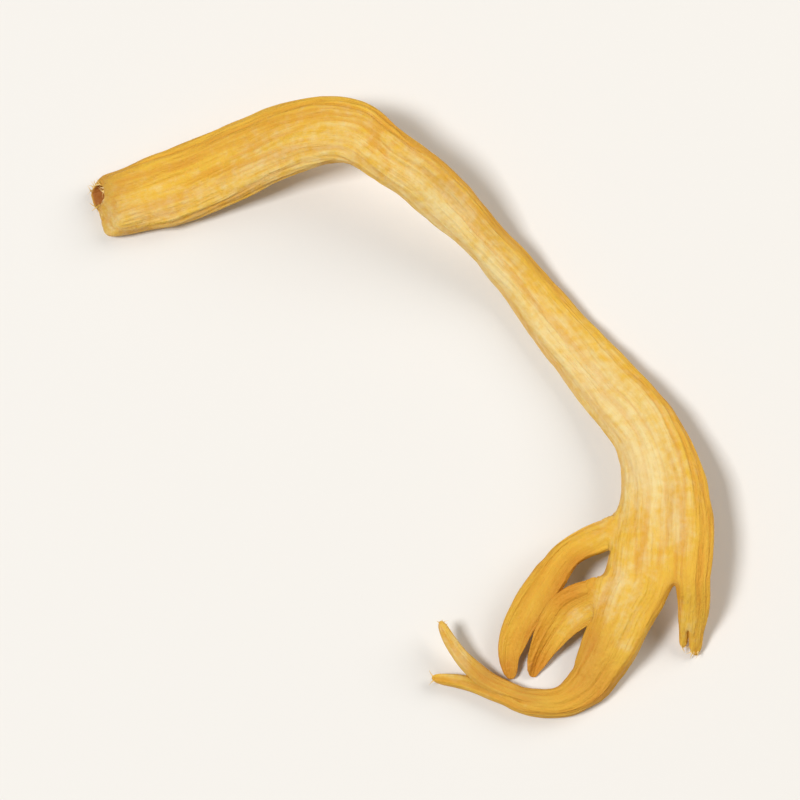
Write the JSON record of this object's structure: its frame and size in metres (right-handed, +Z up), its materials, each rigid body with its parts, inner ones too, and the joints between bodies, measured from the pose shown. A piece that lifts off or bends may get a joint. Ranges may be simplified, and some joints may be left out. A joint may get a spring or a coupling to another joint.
{
  "type": "dried cordyceps fruiting body",
  "caption": "One dried cordyceps fruiting body: a flat, furrowed, arched stalk with a torn foot and a palm that forks into a prong, a broad lobe with a curled tail and two side lobes.",
  "frame": {"origin": "on the surface that the fruiting body lies on, under the middle of its footprint", "axes": "+Z up from that surface. Seen from above with +Y at the top, the torn foot is at the upper left (-X, +Y), and the palm and its lobes are at the lower right (+X, -Y)"},
  "size_m": [0.0385, 0.039, 0.0057],
  "materials": {
    "dried_skin": "matt golden orange, furrowed lengthwise"
  },
  "bodies": {
    "root": {"stalk": "dried_skin", "right_prong": "dried_skin", "broad_lobe": "dried_skin", "upper_side_lobe": "dried_skin", "inner_side_lobe": "dried_skin"}
  },
  "joints": []
}
